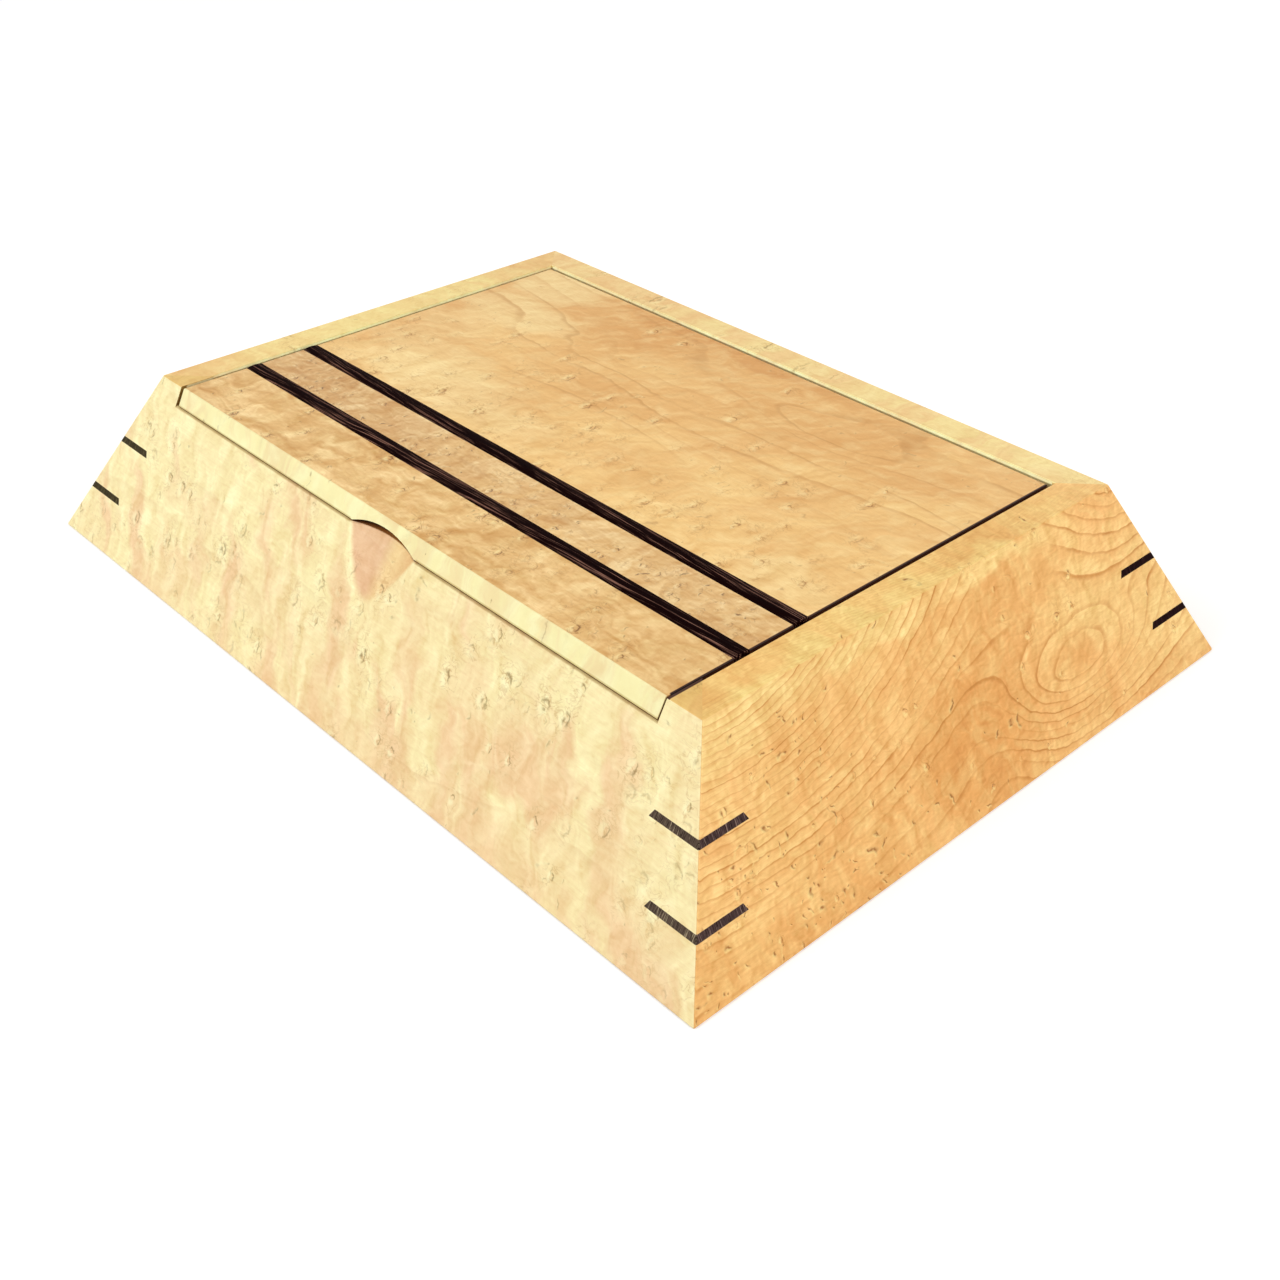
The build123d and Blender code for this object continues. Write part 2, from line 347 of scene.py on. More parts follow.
# %% Growth rings
def spot(finish, place, middle_along, middle_across, reach_along, reach_across):
    """Distance from a spot's middle in the along-across plane, over its reach each way."""
    from_middle = finish.vector("SUBTRACT", place, (middle_along, middle_across, 0))
    squeezed = finish.vector("MULTIPLY", from_middle, (1 / reach_along, 1 / reach_across, 0))
    return finish.vector("LENGTH", squeezed, output=1)


def ring_count(finish, grid, board, eye_pits):
    """Rings counted from the board's middle: across / spacing, plus a broad wander, plus lobes and eyes. The
    count is read from a place that is shaken a little, so neighbouring lines ripple together."""
    seed = board["seed"]
    rippled = finish.shake(grid, board["wave_mm"], board["wave"], seed)
    along, across, through = finish.split(rippled)
    level = finish.plus(across, finish.times(along, board["drift"]), finish.times(through, board["through"]))
    broad = finish.cloud(finish.stretch(grid, 140, 48, shift=seed), 1.0, detail=2.0, distortion=0.4)
    count = finish.plus(finish.math("DIVIDE", level, board["ring_mm"]), finish.times(broad, board["wander"]),
                        finish.times(eye_pits, 0.5))
    for *where, rise in board["lobes"]:
        count = finish.plus(count, finish.times(finish.hill(spot(finish, rippled, *where), 1.0), rise))
    return count


def ring_marks(finish, count, board):
    """Three values from 0 to 1: the border line, the slow darkening before it, and the ring's own shade."""
    within = finish.math("FRACT", count)
    ring = finish.math("FLOOR", count)
    strength = finish.step("TexWhiteNoise", [("W", ring)], 0, noise_dimensions="1D")
    shade = finish.step("TexWhiteNoise", [("W", finish.plus(ring, 0.37))], 0, noise_dimensions="1D")
    line = finish.times(finish.fade(within, board["line_from"], 0.93),
                        finish.fade(within, 0.95, 1.0, 1.0, 0.0),
                        finish.fade(strength, 0.0, 1.0, 0.2, 1.0))
    slow = finish.times(finish.math("POWER", within, 2.0), finish.fade(within, 0.98, 1.0, 1.0, 0.0))
    return line, slow, shade


# %% [markdown]
# ## Bird's eyes
# Each eye is a small dimple that runs through the board like a peg. They lie at random, so cells of a
# Voronoi pattern give their middles; squeezing the grid across the board first makes them taller than wide.
# Only a share of the cells hold an eye, more where a broad noise is high. Where the fibres dive round an
# eye it shows a dark hook on one side, partly its own colour and partly painted shade, and a painted
# highlight in the hollow on the other, with faint tails of painted highlight and shade across the grain.
# Pin-head flecks come in crowds between the eyes, each with a painted glint beside it.

# %% Bird's eyes
def flat_cells(finish, place, gap_mm):
    """Voronoi pattern of the along-across plane: the nearest cell's middle and its three random numbers."""
    cells = finish.tree.nodes.new("ShaderNodeTexVoronoi")
    cells.voronoi_dimensions = "2D"
    finish.tree.links.new(place, cells.inputs["Vector"])
    cells.inputs["Scale"].default_value = 1 / gap_mm
    return cells.outputs["Position"], finish.split(cells.outputs["Color"])


def birds_eyes(finish, grid, board):
    """Four values from 0 to 1: the dimple, its dark marks, its bright marks, and how near it is. The bright
    marks are painted highlights, and the dark ones partly the eye's own colour and partly painted shade.
    With d the distance from the eye's middle over its radius, the dimple is a bell in d and a hook is a thin
    bell in d - 1 that is faded out away from its own side; each eye is turned at random. Tails are bells
    beside its upright."""
    seed, radius_mm = board["seed"], board["eye_mm"]
    bent = finish.shake(finish.shake(grid, 2.4, 1.7 * radius_mm, seed), 0.9, 0.8, seed)
    squeezed = finish.vector("MULTIPLY", bent, (1.0, board["eye_squeeze"], 0))
    read = finish.vector("ADD", squeezed, (seed * 31.0, seed, 0))
    middle, (own_size, own_pick, own_turn) = flat_cells(finish, read, board["eye_gap_mm"])

    crowd = finish.cloud(finish.vector("MULTIPLY", middle, (1 / 55, 1 / 30, 0)), 1.0, detail=1.0)
    crowd = finish.plus(crowd, finish.times(finish.split(grid)[1], board["eye_side"]))
    chance = finish.fade(crowd, 0.40, 0.62, 0.12 * board["eye_share"], 2.1 * board["eye_share"])
    present = finish.math("LESS_THAN", own_pick, chance)
    present = finish.times(present, finish.fade(own_pick, 0.0, board["eye_share"], 1.0, 0.4))

    offset = finish.vector("SUBTRACT", read, middle)
    distance = finish.vector("LENGTH", offset, output=1)
    radius = finish.fade(own_size, 0.0, 1.0, 0.65 * radius_mm, 1.3 * radius_mm)
    ratio = finish.math("DIVIDE", distance, radius)
    turn = finish.plus(finish.times(own_turn, 2.0), -0.35)
    side_way = finish.step("CombineXYZ", [(0, finish.math("COSINE", turn)), (1, finish.math("SINE", turn))])
    sideways = finish.vector("DOT_PRODUCT", offset, side_way, output=1)
    facing = finish.math("DIVIDE", sideways, finish.plus(distance, 0.05))

    pit = finish.times(finish.hill(ratio, 0.9), present)
    hook = finish.times(finish.hill(finish.math("SUBTRACT", ratio, 1.0), 0.2),
                        finish.fade(facing, 0.1, 0.85))
    pith = finish.times(finish.hill(ratio, 0.3), finish.fade(own_size, 0.70, 0.80))
    hollow = finish.times(finish.hill(finish.math("SUBTRACT", ratio, 0.6), 0.6),
                          finish.fade(facing, 0.5, -0.4))

    right_of, above, _ = finish.split(offset)
    tail_mm = 0.9 * radius_mm
    reach = finish.hill(above, 3.6 * radius_mm * board["eye_squeeze"])
    dark_tail = finish.times(finish.hill(finish.math("SUBTRACT", right_of, radius_mm), tail_mm), reach)
    bright_tail = finish.times(finish.hill(finish.math("ADD", right_of, tail_mm), tail_mm), reach)
    marks = finish.math("MAXIMUM", hook, pith)
    dark = finish.math("MAXIMUM", marks, finish.times(dark_tail, board["tails"] * 0.3))
    bright = finish.math("MAXIMUM", hollow, finish.times(bright_tail, board["tails"]))
    near = finish.times(finish.hill(ratio, 3.2), present)
    return pit, finish.times(dark, present), finish.times(bright, present), near


def specks(finish, grid, board):
    """Pin-head flecks, and a painted glint beside each: bells round the middles of a finer pattern, in the
    cells that a noise crowds together."""
    bent = finish.shake(grid, 1.6, 1.6, board["seed"])
    scattered = finish.shake(bent, 9.0, 14.0, board["seed"] + 4)
    squeezed = finish.vector("MULTIPLY", scattered, (1.0, 0.8, 0))
    read = finish.vector("ADD", squeezed, (board["seed"] * 17.0, 0, 0))
    middle, (own_size, own_pick, _) = flat_cells(finish, read, board["speck_gap_mm"])
    crowd = finish.cloud(finish.vector("MULTIPLY", middle, (1 / 26, 1 / 14, 0)), 1.0, detail=2.0)
    along, across, _ = finish.split(grid)
    crowd = finish.plus(crowd, finish.times(along, board["speck_side"][0]),
                        finish.times(finish.plus(across, -30.0), board["speck_side"][1]))
    picked = finish.math("LESS_THAN", own_pick, finish.fade(crowd, 0.50, 0.74, 0.02, 0.7))
    width = finish.fade(own_size, 0.0, 1.0, 0.22, 0.60)
    apart = finish.vector("SUBTRACT", read, middle)
    dark = finish.hill(finish.vector("LENGTH", apart, output=1), width)
    beside = finish.vector("LENGTH", finish.vector("ADD", apart, (0.5, 0.35, 0)), output=1)
    return finish.times(dark, picked), finish.times(finish.hill(beside, finish.times(width, 1.3)), picked)


# %% [markdown]
# ## Places on the box that are toned by themselves
# Cut ends drink more oil, so one board isn't one colour all over. The level tops are darker and warmer
# than the sloping faces, as painted shade, and the lid's sloping front is as pale as the wall under it, as
# painted light. Painted shade darkens the finger scoop, pinker on its left and browner on its right and most
# on its right flank. A hair of glue shows at a mitre. Painted shade darkens the narrow gaps round the lid,
# the seam and seat under its lip and the ears beside it, and painted light brightens the bevels of the rear
# and left rails and the shade under them.

# %% Where the toned places are
lid_ends = [corner.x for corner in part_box("lid_main_board")]
lid_middle = sum(lid_ends) / 2
lid_half = (lid_ends[1] - lid_ends[0]) / 2
lip_back = -0.101
mouth_half = 0.1382
rail_front = 0.0897
scoop_floor = 0.0415
scoop_half = 0.0195
seat_level = 0.0639
print("lid's middle and half length, mm:", [round(1000 * value, 2) for value in (lid_middle, lid_half)])


def top_place(finish, position):
    """1 on the level tops of the walls, 0 elsewhere."""
    return finish.above(finish.split(position)[2], box_height - 0.4 * mm, 0.3 * mm)


def depth_under_slope(finish, position):
    """Distance in metres from the plane of the sloping front face, measured square to it, inwards."""
    _, back, up = finish.split(position)
    level_run = finish.plus(back, half_depth, finish.times(up, -slope))
    return finish.times(level_run, cos(wall_tilt))


def slope_place(finish, position):
    """1 on the sloping front face."""
    return finish.below(depth_under_slope(finish, position), 0.2 * mm, 0.4 * mm)


def from_middle(finish, position):
    """Distance from the middle of the lid and the scoop, to the right."""
    return finish.plus(finish.split(position)[0], -lid_middle)


def from_box_middle(finish, position):
    """Distance from the middle of the box, to either side."""
    return finish.math("ABSOLUTE", finish.split(position)[0])


def openness(finish, reach):
    """How open the surroundings are within `reach`: 1 in the open, 0 shut in."""
    around = finish.tree.nodes.new("ShaderNodeAmbientOcclusion")
    around.samples = 4
    around.inputs["Distance"].default_value = reach
    return around.outputs["AO"]


def shut_in(finish, reach, edge=0.6):
    """1 where less than the share `edge` of the surroundings is open, 0 where nearly all is."""
    return finish.fade(openness(finish, reach), edge, 0.95, 1.0, 0.0)


def crevice(finish, _):
    """1 deep in a narrow gap, where hardly any of the nearest 3 mm is open."""
    return finish.below(openness(finish, 3 * mm), 0.05, 0.5)


# %% Scoop, seat and ears
def scoop_place(finish, position):
    """1 in the finger scoop: under the front face, above its run-out and within its width."""
    under = finish.above(depth_under_slope(finish, position), 0.02 * mm, 0.68 * mm)
    high = finish.above(finish.split(position)[2], scoop_floor - 2 * mm, 3 * mm)
    aside = finish.math("ABSOLUTE", from_middle(finish, position))
    return finish.times(under, high, finish.below(aside, scoop_half, 1 * mm))


def scoop_left(finish, position):
    """The scoop's left part."""
    x = finish.split(position)[0]
    return finish.times(scoop_place(finish, position), finish.below(x, -1 * mm, 8 * mm))


def scoop_right(finish, position):
    """The scoop's right part."""
    x = finish.split(position)[0]
    return finish.times(scoop_place(finish, position), finish.above(x, -1 * mm, 8 * mm))


def scoop_flank(finish, position):
    """The scoop's right flank, near the top: painted shade."""
    side = finish.above(from_middle(finish, position), 6 * mm, 11 * mm)
    high = finish.fade(finish.split(position)[2], scoop_floor + 6 * mm, seat_level)
    return finish.times(scoop_place(finish, position), side, high)


def seat_band(finish, position, reach, soft):
    """1 from `reach` under the lid's seat to just over it."""
    up = finish.split(position)[2]
    return finish.times(finish.above(up, seat_level - reach, soft),
                        finish.below(up, seat_level + 0.2 * mm, 0.3 * mm))


def between_ears(finish, position):
    """1 between the front wall's two ears."""
    return finish.below(from_box_middle(finish, position), mouth_half, 0.3 * mm)


def seat_edge(finish, position):
    """The bevelled edge of the front wall, while the lid's lip lies over it: painted shade under the lip."""
    shallow = finish.below(depth_under_slope(finish, position), 1.2 * mm, 0.6 * mm)
    return finish.times(seat_band(finish, position, 0.7 * mm, 0.3 * mm), between_ears(finish, position),
                        shallow, shut_in(finish, 6 * mm))


def seat_rest(finish, position):
    """The strip of the front wall's top that shows under the lid's arc, while the lid is down: painted shade
    under the arc.
    """
    aside = finish.math("ABSOLUTE", from_middle(finish, position))
    return finish.times(seat_band(finish, position, 0.3 * mm, 0.2 * mm),
                        finish.below(aside, scoop_half - 2 * mm, 2 * mm), shut_in(finish, 12 * mm, 0.5))


def ear_side(finish, position):
    """The upright sides of the notch in the front wall that takes the lid's lip, painted dark as the shade
    in the gap beside the lid.
    """
    flat = finish.hill(finish.plus(from_box_middle(finish, position), -mouth_half), 0.06 * mm)
    shallow = finish.below(depth_under_slope(finish, position), 1.8 * mm, 1 * mm)
    return finish.times(flat, shallow, finish.above(finish.split(position)[2], seat_level, 0.4 * mm))


def ear_rim(finish, position):
    """The edge of the right-hand ear beside the lid, painted shade as dark as the gap beside it."""
    x, _, up = finish.split(position)
    return finish.times(finish.above(up, box_height - 0.4 * mm, 0.2 * mm),
                        finish.below(x, mouth_half + 0.9 * mm, 0.3 * mm),
                        finish.above(x, mouth_half - 0.6 * mm, 0.2 * mm))


def seam_shade_band(finish, position):
    """A soft band under 1 mm wide on the sloping face, on each side of the seam under the lid's lip: painted
    shade along the seam.
    """
    seam_middle = seat_level + 0.3 * mm
    from_seam = finish.math("ABSOLUTE", finish.plus(finish.split(position)[2], -seam_middle))
    aside = finish.math("ABSOLUTE", from_middle(finish, position))
    return finish.times(finish.below(from_seam, 0.4 * mm, 0.6 * mm), between_ears(finish, position),
                        finish.above(aside, scoop_half - 1 * mm, 1 * mm), slope_place(finish, position))


# %% Walls and lid ends
def corner_place(finish, position):
    """The level top near the right-hand front corner."""
    back = finish.split(position)[1]
    return finish.times(top_place(finish, position), finish.below(back, -96 * mm, 14 * mm))


def lid_end_place(finish, position):
    """1 on the cut ends of the lid's boards."""
    out = finish.math("ABSOLUTE", from_middle(finish, position))
    return finish.above(out, lid_half - 0.3 * mm, 0.2 * mm)


def right_end(finish, position, reach):
    """1 within `reach` of the lid's right-hand end, behind the lip."""
    return finish.times(finish.above(from_middle(finish, position), lid_half - reach, 0.2 * mm),
                        finish.above(finish.split(position)[1], lip_back - 0.5 * mm, 0.5 * mm))


def shut_end_place(finish, position):
    """The lid's right-hand end, behind the lip, while it stands close to the wall: painted shade in the gap.
    """
    return finish.times(right_end(finish, position, 0.8 * mm), shut_in(finish, 6 * mm))


def lid_edge_place(finish, position):
    """A hair along the edge between the lid's top and its right-hand end, painted dark as the shade of the
    gap beside it.
    """
    high = finish.above(finish.split(position)[2], box_height - 0.8 * mm, 0.2 * mm)
    return finish.times(right_end(finish, position, 0.7 * mm), high)


def shaded_place(side):
    """1 on the outside of the rear or left-hand wall, and on its inside below the rim's bevels."""
    def place(finish, position):
        x, back, up = finish.split(position)
        reach = back if side == "rear" else finish.times(x, -1.0)
        foot = half_depth if side == "rear" else half_length
        inset = finish.plus(foot, finish.times(up, -slope), finish.times(reach, -1.0))
        outside = finish.below(inset, 0.3 * mm, 0.3 * mm)
        return finish.math("MAXIMUM", outside, finish.below(up, box_height - 4.2 * mm, 0.8 * mm))
    return place


def rail_bevel_place(finish, position):
    """The bevel along the rear rail's inner edge, and the first millimetres under it: painted light over the
    gap's shade.
    """
    _, back, up = finish.split(position)
    high = finish.above(up, box_height - 3.4 * mm, 0.4 * mm)
    return finish.times(high, finish.below(back, rail_front, 0.5 * mm))


def side_bevel_place(finish, position):
    """The bevel along a side wall's inner edge, and the first millimetres under it: painted light over the
    gap's shade.
    """
    high = finish.above(finish.split(position)[2], box_height - 4.4 * mm, 0.4 * mm)
    inner = finish.below(from_box_middle(finish, position), mouth_half + 0.9 * mm, 0.3 * mm)
    return finish.times(high, inner)


def mitre_line(finish, position):
    """A hair's breadth along the mitres of the leaning faces: there the point is as far in from the end as
    from the side."""
    from_end = finish.math("SUBTRACT", half_length, from_box_middle(finish, position))
    from_side = finish.math("SUBTRACT", half_depth, finish.math("ABSOLUTE", finish.split(position)[1]))
    off_top = finish.below(top_place(finish, position), 0.0, 1.0)
    return finish.times(finish.hill(finish.math("SUBTRACT", from_end, from_side), 0.16 * mm), off_top)


# %% [markdown]
# ## The whole maple
# Figured maple has soft leaning bands where the fibres weave to and fro, cloudy patches of warmer
# heartwood, and fine fibres. The palest tone comes first, and each of the other tones is mixed in by its
# own mask. Stains are patches at set places. Then painted light and shade for the weave brighten one flank
# of each small wave in the fibres and deepen the other, most in blue and least in red, so that the dark
# flank is richer and not greyer. The glints by the flecks and the bright marks of the eyes are painted
# highlights. The same masks raise and lower the surface by a tenth of a millimetre or two under the oil.

# %% Maple
light_by_channel = (0.6, 1.0, 1.6)
oil = {"Specular IOR Level": 0.25, "Coat Weight": 0.05, "Coat Roughness": 0.3}


def weave(finish, place, lump_along, lump_across, step_mm, seed, twist):
    """Painted light and shade of woven fibres, as a small number either side of 0: noise read here, less the
    same noise read a step away, up and to the left."""
    steps = [finish.vector("ADD", place, (-step, step, 0)) for step in (0.0, step_mm)]
    reads = [finish.stretch(moved, lump_along, lump_across, shift=seed) for moved in steps]
    here, there = [finish.cloud(read, 1.0, detail=3.0, roughness=0.5, distortion=twist) for read in reads]
    return finish.math("SUBTRACT", here, there)


def toned(finish, position, colour, places):
    """The colour, multiplied in each place by that place's own factor for red, green and blue."""
    for place, factor in places:
        tint = finish.blend(place(finish, position), (1.0, 1.0, 1.0, 1.0), (*factor, 1.0))
        colour = finish.blend(1.0, colour, tint, mode="MULTIPLY")
    return colour


def figure(finish, grid, board):
    """Every mask of one board's figure, from 0 to 1 or so. `ragged` is the grid shaken, so that patches get
    torn outlines, `across` its second number, and `leaning` the grid in which the woven bands lean."""
    seed = board["seed"]
    ragged = finish.shake(grid, 15, 18, seed + 9)
    pit, eye_dark, eye_bright, near = birds_eyes(finish, grid, board)
    line, slow, shade = ring_marks(finish, ring_count(finish, grid, board, pit), board)

    along, across, through = finish.split(ragged)
    lean = finish.plus(along, finish.times(across, board["curl_lean"]))
    leaning = finish.step("CombineXYZ", [(0, lean), (1, across), (2, finish.times(through, 0.3))])
    bands = finish.cloud(finish.stretch(leaning, board["curl_mm"], board["curl_mm"] * 2.4, shift=seed + 3),
                         1.0, detail=4.0, roughness=board["curl_rough"])
    sweep = finish.plus(finish.times(along, board["sweep"][0]), finish.times(across, board["sweep"][1]))
    curl = finish.fade(finish.plus(bands, sweep), 0.40, 0.62)
    broad = finish.cloud(finish.stretch(ragged, 75, 34, shift=seed + 7), 1.0, detail=4.0, roughness=0.5)
    patch = finish.fade(finish.plus(broad, sweep), 0.38, 0.68)
    frayed = finish.cloud(finish.stretch(leaning, 6.0, 9.0, shift=seed + 13), 1.0, detail=4.0, roughness=0.6)
    wisps = finish.fade(frayed, 0.40, 0.70)
    fibres = finish.cloud(finish.stretch(grid, 9.0, 0.28, shift=seed), 1.0, detail=2.0)
    wrinkle = finish.cloud(finish.stretch(grid, 5.0, 3.6, shift=seed + 21), 1.0, detail=3.0, distortion=1.2)
    crease = finish.times(finish.hill(finish.math("SUBTRACT", wrinkle, 0.5), 0.025), finish.plus(near, 0.1))
    return SimpleNamespace(ragged=ragged, across=across, leaning=leaning, pit=pit, eye_dark=eye_dark,
                           eye_bright=eye_bright, line=line, slow=slow, shade=shade, bands=bands, curl=curl,
                           patch=patch, wisps=wisps, fibres=fibres, wrinkle=wrinkle, crease=crease)


def ring_share(finish, grid, board, ragged):
    """How much of the rings shows: it comes and goes, and each calm patch leaves only a share of them."""
    comes = finish.cloud(finish.stretch(grid, 30, 12, shift=board["seed"] + 17), 1.0)
    busy = finish.fade(comes, 0.35, 0.6, 0.35, 1.0)
    for *where, left in board["calm"]:
        busy = finish.times(busy, finish.fade(spot(finish, ragged, *where), 0.6, 1.2, left, 1.0))
    return busy


def wood_colour(finish, board, tones, mask, busy):
    """The palest tone, with clouds, stains, rings, creases and fibres mixed in one after another."""
    colour = finish.blend(finish.times(mask.curl, board["curl"]), tones["pale"], tones["flush"])
    colour = finish.blend(finish.times(mask.patch, board["patch"]), colour, tones["deep"])
    for tone, *where, amount in board["stains"]:
        stain = finish.fade(spot(finish, mask.ragged, *where), 0.55, 1.25, amount, 0.0)
        colour = finish.blend(stain, colour, tones[tone])
    colour = finish.blend(finish.times(mask.shade, board["shade"], busy), colour, tones["deep"])
    colour = finish.blend(finish.times(mask.wisps, board["wisps"]), colour, tones["gleam"])
    colour = finish.blend(finish.times(mask.slow, busy, board["lines"] * 0.5), colour, tones["deep"])
    colour = finish.blend(finish.times(mask.line, busy, board["lines"]), colour, tones["line"])
    colour = finish.blend(finish.times(mask.crease, board["creases"]), colour, tones["line"])
    return finish.blend(finish.fade(mask.fibres, 0.4, 0.72, 0.0, 0.22), colour, tones["deep"])


def woven_light(finish, grid, board, mask):
    """The factor for red, green and blue by which painted light and shade of the woven fibres brighten or
    deepen the colour.
    """
    seed = board["seed"]
    upright = finish.cloud(finish.stretch(mask.ragged, 7.0, 38.0, shift=seed + 5), 1.0, detail=3.0)
    tall_share, tall_from, tall_to = board["tall"]
    tall = finish.fade(mask.across, tall_from, tall_to, 0.0, tall_share)
    small = weave(finish, grid, 4.2, 3.0, 0.8, seed, 0.7)
    large = weave(finish, mask.leaning, *board["fold"], 2.0, seed + 2, 0.15)
    light = finish.plus(finish.times(small, board["weave"]), finish.times(large, board["folds"]),
                        finish.times(finish.plus(upright, -0.5), tall))
    return finish.vector("MULTIPLY_ADD", light, light_by_channel, (1.0, 1.0, 1.0))


def maple(name, grid_of, tones, places=(), **own):
    """Oiled bird's-eye maple in one board's own tones. The board's settings stand before the plain ones."""
    board = {**plain, **own}
    finish = Finish(name)
    grid = board_grid(finish, **grid_of)
    position = finish.step("TexCoord", output=3)
    mask = figure(finish, grid, board)
    busy = ring_share(finish, grid, board, mask.ragged)
    if top_place in dict(places):
        busy = finish.times(busy, finish.fade(top_place(finish, position), 0.0, 1.0, 1.0, 0.3))

    colour = wood_colour(finish, board, tones, mask, busy)
    colour = finish.vector("MULTIPLY", colour, woven_light(finish, grid, board, mask))
    # Painted light: the lid's sloping front is paled to the wall's tones, as a face that takes more light.
    for place, share in board["pale_places"]:
        smooth = finish.blend(finish.times(mask.curl, 0.55), front_tones["pale"], front_tones["flush"])
        smooth = finish.blend(finish.times(mask.wisps, 0.6), smooth, front_tones["gleam"])
        colour = finish.blend(finish.times(place(finish, position), share), colour, smooth)
    fleck, glint = specks(finish, grid, board)
    # Painted highlights: a glint beside each fleck and the bright marks of the eyes; the eyes' dark marks
    # are partly painted shade.
    colour = finish.blend(finish.times(glint, board["specks"] * 0.6), colour, tones["gleam"])
    colour = finish.blend(finish.times(fleck, board["specks"]), colour, tones["eye"])
    colour = finish.blend(finish.times(mask.eye_bright, board["eyes"] * 0.8), colour, tones["gleam"])
    colour = finish.blend(finish.times(mask.eye_dark, board["eyes"]), colour, tones["eye"])
    # Painted shade deep in the narrow gaps, by each board's own factor for them.
    colour = toned(finish, position, colour, (*places, (crevice, board["wax"])))

    height = finish.plus(finish.times(mask.bands, 0.6), finish.times(mask.wrinkle, 0.05),
                         finish.times(mask.fibres, 0.06), finish.times(mask.pit, -0.45),
                         finish.times(mask.line, -0.08))
    roughness = finish.plus(0.36, finish.times(mask.fibres, 0.10), finish.times(mask.curl, 0.05),
                            finish.times(crevice(finish, position), 0.5))
    return finish.surface(colour, roughness, height, 0.3 * mm, **oil)


# %% [markdown]
# ## The boards
# Seven boards show, and no two are alike: the front is the palest and cloudiest, the right-hand end is
# honey brown with clear rings and an oval, and the lid's main board is tan with a band of eyes beside the
# strip.

# %% The boards
front_tones = dict(pale=linear(247, 235, 177), flush=linear(237, 202, 153), deep=linear(235, 195, 142),
                   line=linear(200, 164, 108), eye=linear(126, 98, 44), gleam=linear(253, 248, 198))
side_tones = dict(pale=linear(255, 210, 134), flush=linear(249, 189, 117), deep=linear(226, 155, 78),
                  line=linear(202, 134, 58), eye=linear(150, 82, 12), gleam=linear(255, 228, 150))
lid_tones = dict(pale=linear(246, 204, 132), flush=linear(233, 182, 114), deep=linear(218, 158, 88),
                 line=linear(182, 126, 58), eye=linear(150, 92, 28), gleam=linear(253, 228, 164))
board_tones = dict(pale=linear(242, 202, 138), flush=linear(226, 180, 114), deep=linear(208, 158, 92),
                   line=linear(172, 122, 66), eye=linear(124, 80, 38), gleam=linear(252, 226, 160))
middle_tones = dict(pale=linear(236, 195, 130), flush=linear(220, 174, 113), deep=linear(202, 152, 94),
                    line=linear(160, 112, 68), eye=linear(112, 70, 40), gleam=linear(250, 222, 164))

glue = (0.84, 0.76, 0.68)
end_grain = (0.60, 0.48, 0.36)
corner_tone = (0.90, 0.81, 0.74)
shade_tone = (1.06, 0.93, 0.86)
# Painted light: these brighten the rail bevels and the shaded faces under them.
rail_bevel_light = (1.12, 1.34, 1.40)
side_bevel_light = (1.07, 1.20, 1.12)
# Painted light on the lid's sloping front.
lip_tone = (0.99, 1.05, 1.04)
# Painted shade of the finger scoop: pinker on the left, browner on the right, darkest on the right flank.
scoop_pink = (0.84, 0.62, 0.64)
scoop_brown = (0.97, 0.83, 0.76)
scoop_flank_shade = (0.84, 0.70, 0.58)
# Painted shade round the lid: its end in the gap, the rims beside the gap, the seat and seam under the lip,
# and the ear sides.
end_gap_shade = (0.16, 0.05, 0.06)
rim_shade = (0.07, 0.025, 0.01)
seat_shade = (0.48, 0.34, 0.19)
rest_shade = (0.34, 0.22, 0.10)
ear_shade = (0.34, 0.22, 0.07)
seam_shade_tone = (0.70, 0.62, 0.48)
# Painted shade on the level tops, darker and warmer than the sloping faces, for each wall.
top_shade_by_side = dict(front=(0.85, 0.63, 0.37), right=(0.92, 0.94, 0.86), rear=(1.0, 0.89, 0.70),
                   left=(1.0, 0.91, 0.67))


def wall_places(side):
    """The toned places that every wall has."""
    return [(top_place, top_shade_by_side[side]), (mitre_line, glue)]


front_places = wall_places("front") + [
    (scoop_left, scoop_pink), (ear_rim, rim_shade), (seam_shade_band, seam_shade_tone), (scoop_right, scoop_brown),
    (scoop_flank, scoop_flank_shade), (seat_edge, seat_shade), (seat_rest, rest_shade), (ear_side, ear_shade)]
right_places = wall_places("right") + [(corner_place, corner_tone)]
rear_places = wall_places("rear") + [(rail_bevel_place, rail_bevel_light), (shaded_place("rear"), shade_tone)]
left_places = wall_places("left") + [(side_bevel_place, side_bevel_light), (shaded_place("left"), shade_tone)]
lid_places = [(lid_end_place, end_grain), (shut_end_place, end_gap_shade), (lid_edge_place, rim_shade)]
lip_places = lid_places + [(slope_place, lip_tone), (seam_shade_band, seam_shade_tone)]

# %% [markdown]
# A board's settings: `seed` picks its noise; `ring_mm`, `drift` and `through` space and tilt its rings,
# `wander` and `wave` bend them, and `line_from` is where in a ring its border starts. `curl`, `patch` and
# `wisps` are shares of its clouds, which grow denser along and across by `sweep`. `weave` and `folds` are
# shares of its small and large waves of painted light and shade, whose lumps are `fold` long and wide, and
# `tall` is the share of its upright bands and the two places across between which they fade in. Names with
# `eye` or `speck` set its eyes and flecks, and `wax` is the factor of painted shade in narrow gaps.
#
# A lobe is a middle (along, across), a reach each way and a rise in rings. A stain is a tone, a middle, a
# reach each way and an amount. A calm patch is a middle, a reach each way and the share of the rings that
# it leaves.

# %% Each board
plain = dict(through=0.6, wave_mm=7.0, wave=3.0, sweep=(0.0, 0.0), calm=[], stains=[], lobes=[], weave=0.4,
             creases=0.7, speck_gap_mm=4.5, specks=0.4, line_from=0.78, eye_side=0.0, speck_side=(0.0, 0.0),
             tall=(0.0, 0.0, 1.0), fold=(9.0, 16.0), folds=0.7, curl_rough=0.55, wax=(0.26, 0.15, 0.11),
             pale_places=[])

